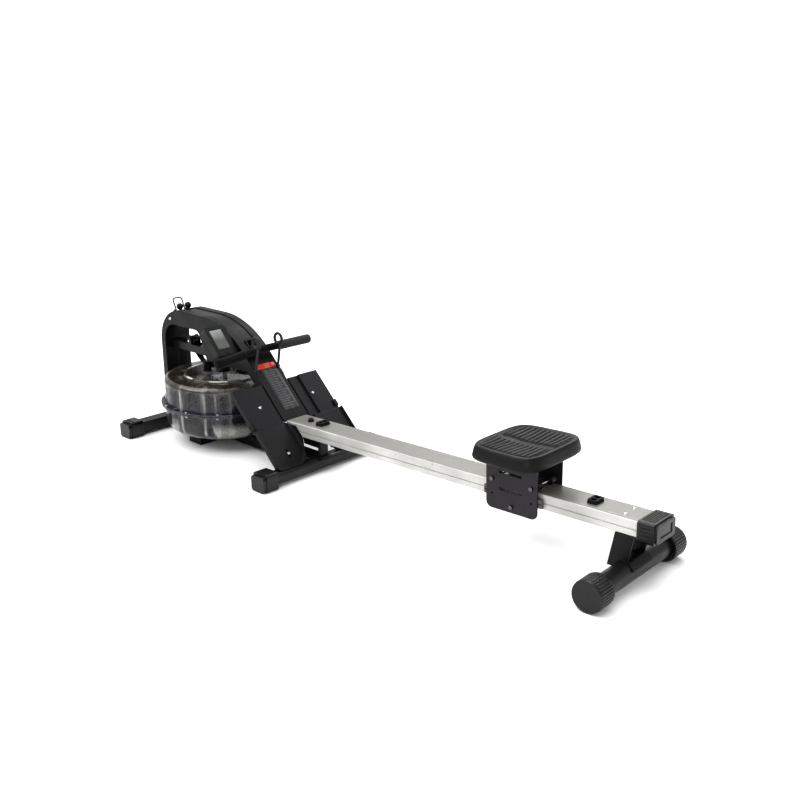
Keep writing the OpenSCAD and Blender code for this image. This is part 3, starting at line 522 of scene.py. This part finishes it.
def pad_radius(angle):
    """Distance from the pad's centre to its outer edge."""
    c, s = abs(math.cos(angle)), abs(math.sin(angle))
    wide = PAD_HALF_Y + PAD_FLARE * PAD_HALF_X * math.cos(angle)
    return ((c / PAD_HALF_X) ** PAD_CORNER + (s / wide) ** PAD_CORNER) ** (-1 / PAD_CORNER)


def smooth_step(v, low, high):
    """Share from 0 at low to 1 at high, with soft ends."""
    t = min(1.0, max(0.0, (v - low) / (high - low)))
    return t * t * (3 - 2 * t)


def pad_top(x, y, inward):
    """Height of the pad's top over its rim at a place; inward is the share of the way to the middle."""
    dish = -0.0050 * smooth_step(inward, 0.05, 0.9)
    channel = 1.0 - smooth_step(abs(y), 0.012, 0.018)
    field = smooth_step(inward, 0.10, 0.14) * (1.0 - channel)
    wave = 0.5 + 0.5 * math.cos(2 * math.pi * x / RIB_PITCH)
    ribs = RIB_HEIGHT * smooth_step(wave, 0.06, 0.36) * field
    sunk = -0.0020 * smooth_step(inward, 0.055, 0.10)
    trough = -0.0022 * channel * smooth_step(inward, 0.06, 0.2)
    nose = -0.003 * smooth_step(-x, 0.06, 0.105)
    return dish + ribs + sunk + trough + nose


def build_pad():
    """Moulded seat pad: a rolled skirt round a ribbed and dished top."""
    place = on_rail(SEAT_S) @ Matrix.Translation((PAD_BACK, 0, 0))
    inner = PAD_SKIRT[-1][1]
    nx, ny = PAD_CELLS
    edge = ([(i, 0) for i in range(nx)] + [(nx, j) for j in range(ny)]
            + [(nx - i, ny) for i in range(nx)] + [(0, ny - j) for j in range(ny)])

    def plan(i, j):
        """Place on the top: straight rows in the middle that bend to the rounded outline at the rim."""
        a, b = 2 * i / nx - 1, 2 * j / ny - 1
        x, y = a * inner * PAD_HALF_X, b * inner * PAD_HALF_Y
        m = max(abs(a), abs(b))
        if m > 0:
            full = math.hypot(x, y) / m
            f = 1 + (pad_radius(math.atan2(y, x)) * inner / full - 1) * m ** 3
            x, y = x * f, y * f
        return x, y, 1 - m

    verts = []
    for h, k in PAD_SKIRT[:-1]:
        for i, j in edge:
            x, y, _ = plan(i, j)
            a = math.atan2(y, x)
            r = pad_radius(a) * k
            verts.append(place @ Vector((r * math.cos(a), r * math.sin(a), PAD_LOW + h)))
    n = len(edge)
    first = len(verts)
    for i in range(nx + 1):
        for j in range(ny + 1):
            x, y, inward = plan(i, j)
            verts.append(place @ Vector((x, y, PAD_HIGH + pad_top(x, y, inward))))
    rows = [[k * n + i for i in range(n)] for k in range(len(PAD_SKIRT) - 1)]
    rows.append([first + i * (ny + 1) + j for i, j in edge])
    faces = [(lower[k], lower[(k + 1) % n], upper[(k + 1) % n], upper[k])
             for lower, upper in zip(rows, rows[1:]) for k in range(n)]
    for i in range(nx):
        for j in range(ny):
            c = first + i * (ny + 1) + j
            faces.append((c, c + ny + 1, c + ny + 2, c + 1))
    verts.append(place @ Vector((0, 0, PAD_LOW + PAD_SKIRT[0][0])))
    faces += [(len(verts) - 1, (k + 1) % n, k) for k in range(n)]
    pad = mesh_piece("seat_pad_moulded", verts, faces, mats["seat"], "seat")
    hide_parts("seat_pad")


build_pad()


# ---- Tank liner ----

# Wall with a lip at its top: (radius, height)
LINER_SECTION = [(0.1490, 0.0900), (0.1515, 0.0900), (0.1500, 0.2080), (0.1545, 0.2125), (0.1500, 0.2135),
                 (0.1475, 0.2080)]
LINER_STEPS = 144


def build_liner():
    """Clear ring wall that stands inside the tank, round the paddles."""
    middle = centre("drive_shaft")
    rings = [[(middle.x + r * math.cos(a), middle.y + r * math.sin(a), z) for r, z in LINER_SECTION]
             for a in circle(LINER_STEPS)]
    verts, faces = loft(rings + [rings[0]], closed_ends=False)
    # The last ring is the first again, so its points are dropped and its faces go back to the start
    own = LINER_STEPS * len(LINER_SECTION)
    verts = verts[:own]
    faces = [tuple(v % own for v in f) for f in faces]
    liner = mesh_piece("tank_liner", verts, faces, mats["liner"], "frame")


build_liner()


# ---- Handle grips ----

HANDLE_HALF = 0.202                     # each half of the bar reaches this far across
HANDLE_BEND = 0.029                     # and its end lies this much nearer the tail than the middle
HANDLE_TILT = math.radians(2.4)
# Sleeve from its inner end outwards: (distance back from the bar's end, radius)
GRIP_PROFILE = [(0.128, 0.0128), (0.1272, 0.0148), (0.1255, 0.0157), (0.122, 0.0160), (0.095, 0.0157),
                (0.060, 0.0159), (0.030, 0.0160), (0.010, 0.0160), (0.0055, 0.0152), (0.0025, 0.0135),
                (0.0007, 0.0105), (0.0, 0.006)]


def build_grips():
    """Foam sleeves turned about the handle's two halves, with rolled ends."""
    length = math.hypot(HANDLE_HALF, HANDLE_BEND)
    lean = math.atan2(HANDLE_BEND, HANDLE_HALF)
    hub = Vector((HANDLE_X, 0, HANDLE_Z))
    tilt = Matrix.Rotation(HANDLE_TILT, 4, "X").to_3x3()
    for side, name in ((1, "grip_right"), (-1, "grip_left")):
        along = tilt @ Vector((math.sin(lean), side * math.cos(lean), 0))
        u = tilt @ Vector((math.cos(lean), -side * math.sin(lean), 0))
        v = along.cross(u)
        rings = []
        for back, r in GRIP_PROFILE:
            c = hub + along * (length - back)
            rings.append([c + r * (u * math.cos(a) + v * math.sin(a)) for a in circle(64)])
        verts, faces = loft(rings)
        # The right grip wears a lighter copy of the foam, painted as if it catches the light
        grip = mesh_piece(name, verts, faces, mats["foam_painted_lit" if side > 0 else "foam_dark"], "handle")
        if side > 0:
            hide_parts("handle_grips")


build_grips()


# ---- Pull strap ----

STRAP_W = 0.022
STRAP_T = 0.0012
PULLEY = Vector((TAIL_X - 1.814, 0, 0.326))
PULLEY_WRAP = 0.0169                    # radius of the strap's middle round the pulley
GUIDE = Vector((TAIL_X - 1.740, 0, 0.243))
GUIDE_SIDE = 0.0142                     # the strap passes this far beside the guide roller's axis
SPOOL = Vector((TAIL_X - 1.640, 0, 0.258))
ROLL_OUTER = 0.0216                     # outermost turn on the spool
ROLL_DEPTH = 0.0056                     # from there to the innermost turn
ROLL_TURNS = 4.0
CLIP_AHEAD = 0.028                      # from the handle to the clip's bar, away from the tail
CLIP_Z = 0.359
LEAD_STEPS = 24                         # rings along the free run, and as many round the pulley
SIDE_STEPS = 21                         # from the pulley to the guide
JOIN_STEPS = 9                          # on each stretch from the guide to the spool
ROLL_STEPS = 220
# Flat band with rounded edges, in shares of its width and thickness
STRAP_SECTION = [(-0.5, -0.35), (-0.46, -0.5), (0.46, -0.5), (0.5, -0.35),
                 (0.5, 0.35), (0.46, 0.5), (-0.46, 0.5), (-0.5, 0.35)]
ACROSS = Vector((0, 1, 0))
UP = Vector((0, 0, 1))


def strap(name, rings, body):
    """Flat woven strap through rings of (centre, direction across, direction through)."""
    loops, uvs, run, last = [], [], 0.0, None
    for c, wide, thick in rings:
        run += (c - last).length if last is not None else 0.0
        last = c
        loops.append([c + wide * (a * STRAP_W) + thick * (b * STRAP_T) for a, b in STRAP_SECTION])
        uvs += [(a * STRAP_W, run) for a, _ in STRAP_SECTION]
    verts, faces = loft(loops)
    uvs += [(0.0, 0.0), (0.0, run)]
    return mesh_piece(name, verts, faces, mats["webbing"], body, uvs=uvs)


def build_lead():
    """Strap from the pulley's top to the handle's clip, which lengthens with the pull; gives its tilt."""
    clip = Vector((HANDLE_X - CLIP_AHEAD, 0, CLIP_Z))
    lead = clip - (PULLEY + Vector((0, 0, PULLEY_WRAP)))
    tilt = math.atan2(lead.z, lead.x)
    start = PULLEY + PULLEY_WRAP * Vector((math.cos(math.pi / 2 + tilt), 0, math.sin(math.pi / 2 + tilt)))
    normal = Vector((-math.sin(tilt), 0, math.cos(tilt)))
    run = [(start.lerp(clip, k / LEAD_STEPS), ACROSS, normal) for k in range(LEAD_STEPS + 1)]
    lead_piece = strap("strap_lead", run, None)
    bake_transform(lead_piece)
    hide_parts("pull_strap")
    return tilt


def build_return(tilt):
    """Strap round the pulley, turned on edge on its way to the guide, then along to the spool."""
    rings = []
    for k in range(LEAD_STEPS + 1):
        a = math.pi / 2 + tilt + math.pi * k / LEAD_STEPS
        out = Vector((math.cos(a), 0, math.sin(a)))
        rings.append((PULLEY + PULLEY_WRAP * out, ACROSS, out))
    under = rings[-1][0]
    side = GUIDE + Vector((0, GUIDE_SIDE, 0))
    for k in range(1, SIDE_STEPS):
        f = k / SIDE_STEPS
        t = min(math.pi / 2, math.pi * 0.75 * f)
        drop = 1 - (1 - f) ** 2
        place = Vector((under.x + f * (side.x - under.x), f * side.y, under.z + drop * (side.z - under.z)))
        rings.append((place, Vector((0, math.cos(t), math.sin(t))), Vector((0, math.sin(t), -math.cos(t)))))
    joins = [side, SPOOL + Vector((-0.036, 0.0204, 0)), SPOOL + Vector((0, 0.0212, 0))]
    for a, b in zip(joins, joins[1:]):
        rings += [(a.lerp(b, k / JOIN_STEPS), UP, ACROSS) for k in range(JOIN_STEPS)]
    rings.append((joins[-1], UP, ACROSS))
    back = strap("strap_return", rings, "frame")


def build_roll():
    """Turns of strap wound on the spool."""
    wound = []
    for k in range(ROLL_STEPS + 1):
        f = k / ROLL_STEPS
        a = math.pi / 2 + 2 * math.pi * ROLL_TURNS * f
        out = Vector((math.cos(a), math.sin(a), 0))
        wound.append((SPOOL + out * (ROLL_OUTER - ROLL_DEPTH * f), UP, out))
    roll = strap("strap_roll", wound, "strap_spool")


build_return(build_lead())
build_roll()


# ---- Badge on the sloping beam ----

BADGE_TOP = TAIL_X - 1.4195             # x of the badge's upper edge
BADGE_SHIFT = 0.006                     # panel and bars lie this far off the beam's middle
RIDGES = 3
RIDGE_PITCH = 0.0048
BARS = 17
BAR_PITCH = 0.0088
BAR_LONGEST = 0.054
# Rings of a plate from its foot to the middle of its top: (share of the plan, share of the thickness)
PLATE_RINGS = ((1.0, 0.0), (1.0, 0.55), (0.985, 0.9), (0.96, 1.0), (0.6, 1.0), (0.25, 1.0))


def badge_material(name, colour, line, pitch, rough=0.38):
    """Printed film with slanting lines across it."""
    s = Surface(name, colour, rough, coat=0.35)
    w = s.add("ShaderNodeTexWave", bands_direction="DIAGONAL", Scale=pitch, Distortion=1.2)
    s.link(s.coords, w.inputs["Vector"])
    s.tint(s.ranged(w.outputs["Fac"], 0.0, 0.8, 0.55, 0.95), line)
    s.relief(w.outputs["Fac"], 0.1, 0.0004, 0.0008)
    return s.mat


def plate_on_beam(name, x, length, width, thick, lift, mat, crown=0.0, soft=0.004, shift=0.0):
    """Crowned plate with rounded corners, lying on the beam's face from x downwards."""
    place = on_beam(x)
    outline = []                        # quarter circles of seven points at the four corners
    for cx, cy, a0 in ((length - soft, width / 2 - soft, 0), (soft, width / 2 - soft, 90),
                       (soft, -width / 2 + soft, 180), (length - soft, -width / 2 + soft, 270)):
        for i in range(7):
            a = math.radians(a0 + 15 * i)
            outline.append((cx + soft * math.cos(a), cy + soft * math.sin(a)))
    mid = Vector((length / 2, 0))
    rings = []
    for k, h in PLATE_RINGS:
        ring = []
        for x0, y0 in outline:
            p = mid + (Vector((x0, y0)) - mid) * k
            bulge = crown * (1 - (2 * p.y / width) ** 2)
            ring.append(place @ Vector((p.x, p.y + shift, lift + thick * h + bulge * h)))
        rings.append(ring)
    verts, faces = loft(rings)
    return mesh_piece(name, verts, faces, mat, "frame")


def build_badge():
    """Grey panel with a red band across its top, three ridges on that and staggered bars below."""
    grey = badge_material("badge grey", (0.050, 0.050, 0.053), (0.020, 0.020, 0.022), 26.0)
    red = badge_material("badge red", (0.50, 0.050, 0.026), (0.62, 0.16, 0.10), 9.0, 0.3)
    bar = powder("badge bars", (0.105, 0.105, 0.110), 0.4, edge=0.0005)
    panel = plate_on_beam("badge_panel", BADGE_TOP, 0.186, 0.066, 0.0006, 0.00005, grey, crown=0.0004,
                          shift=BADGE_SHIFT)
    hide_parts("decal")
    band = plate_on_beam("badge_band", BADGE_TOP, 0.019, 0.080, 0.0018, 0.0003, red, crown=0.0012,
                         soft=0.003)
    down = math.cos(BEAM_SLOPE)
    for k in range(RIDGES):
        ridge = plate_on_beam(f"badge_ridge_{k + 1}", BADGE_TOP + (0.0040 + RIDGE_PITCH * k) * down, 0.0018,
                              0.058 - 0.009 * k, 0.0007, 0.0030, red, soft=0.001)
    for k in range(BARS):
        long = BAR_LONGEST - 0.010 * (k % 3)
        b = plate_on_beam(f"badge_bar_{k + 1}", BADGE_TOP + (0.030 + BAR_PITCH * k) * down, 0.0030, long,
                          0.0010, 0.0004, bar, soft=0.0013, shift=BADGE_SHIFT - (BAR_LONGEST - long) / 2)


build_badge()


# ---- Stage, lights, camera ----

FLOOR_HALF = 30.0
FLOOR_DROP = 0.0005                     # floor just under the feet
SKY_LIGHT = 0.62                        # strength of the white world as a light
SKY_SEEN = 1.05                         # and as the camera sees it
SUN_POWER = 1.7
SUN_ANGLE = math.radians(70)            # wide sun, so its shadows are soft
# Area lamps: name, place, aim, size, power
LAMPS = (
    ("key", (-1.6, -2.6, 2.6), (-0.3, 0, 0.2), (2.0, 1.6), 16),
    ("front", (2.6, -2.4, 1.3), (0, 0, 0.2), (1.8, 1.4), 16),
    ("rim", (-0.8, 2.4, 2.2), (-0.2, 0, 0.3), (2.4, 1.0), 24),
)
CAMERA_PLACE = (TAIL_X + 1.0527, -2.0087, 1.1724)
CAMERA_DOWN = 17.47                     # degrees below the horizon
CAMERA_TURN = 42.59                     # degrees from looking along Y
CAMERA_LENS = 43.41
CAMERA_SENSOR = 36


def build_floor():
    """Large pale matt floor."""
    floor_mat = bpy.data.materials.new("pale floor")
    floor_mat.use_nodes = True
    shader = floor_mat.node_tree.nodes["Principled BSDF"]
    shader.inputs["Base Color"].default_value = rgba((0.93, 0.93, 0.93))
    shader.inputs["Roughness"].default_value = 0.9
    shader.inputs["Specular IOR Level"].default_value = 0.1
    corners = [(x * FLOOR_HALF, y * FLOOR_HALF, 0) for x, y in ((-1, -1), (1, -1), (1, 1), (-1, 1))]
    floor = mesh_piece("stage_floor", corners, [(0, 1, 2, 3)], floor_mat, None, smooth=False)
    floor.location.z = -FLOOR_DROP


def build_world():
    """White world, brighter to the camera than as a light."""
    world = bpy.data.worlds.new("studio")
    bpy.context.scene.world = world
    world.use_nodes = True
    tree = world.node_tree
    sky = tree.nodes["Background"]
    sky.inputs["Color"].default_value = rgba((1.0, 1.0, 1.0))
    sky.inputs["Strength"].default_value = SKY_LIGHT
    seen = tree.nodes.new("ShaderNodeBackground")
    seen.inputs["Strength"].default_value = SKY_SEEN
    ray = tree.nodes.new("ShaderNodeLightPath")
    pick = tree.nodes.new("ShaderNodeMixShader")
    tree.links.new(ray.outputs["Is Camera Ray"], pick.inputs[0])
    tree.links.new(sky.outputs[0], pick.inputs[1])
    tree.links.new(seen.outputs[0], pick.inputs[2])
    tree.links.new(pick.outputs[0], tree.nodes["World Output"].inputs["Surface"])


def build_lights():
    """Wide sun from above and three area lamps."""
    sun = bpy.data.lights.new("high sun", "SUN")
    sun.energy = SUN_POWER
    sun.angle = SUN_ANGLE
    in_scene("high sun", sun).rotation_euler = (math.radians(18), math.radians(-14), 0)
    for name, place, aim, size_xy, power in LAMPS:
        data = bpy.data.lights.new(name, "AREA")
        data.shape = "RECTANGLE"
        data.size, data.size_y = size_xy
        data.energy = power
        lamp = in_scene(name, data)
        lamp.location = place
        lamp.rotation_euler = (Vector(aim) - Vector(place)).to_track_quat("-Z", "Y").to_euler()


def build_camera():
    """Camera that sees the part as the photo shows it."""
    data = bpy.data.cameras.new("camera")
    data.sensor_width = CAMERA_SENSOR
    data.lens = CAMERA_LENS
    camera = in_scene("camera", data)
    camera.location = CAMERA_PLACE
    camera.rotation_euler = (math.radians(90 - CAMERA_DOWN), 0, math.radians(CAMERA_TURN))
    bpy.context.scene.camera = camera


build_camera()
build_floor()
build_world()
build_lights()
bpy.context.scene.view_settings.view_transform = "Standard"
bpy.context.scene.view_settings.look = "High Contrast"
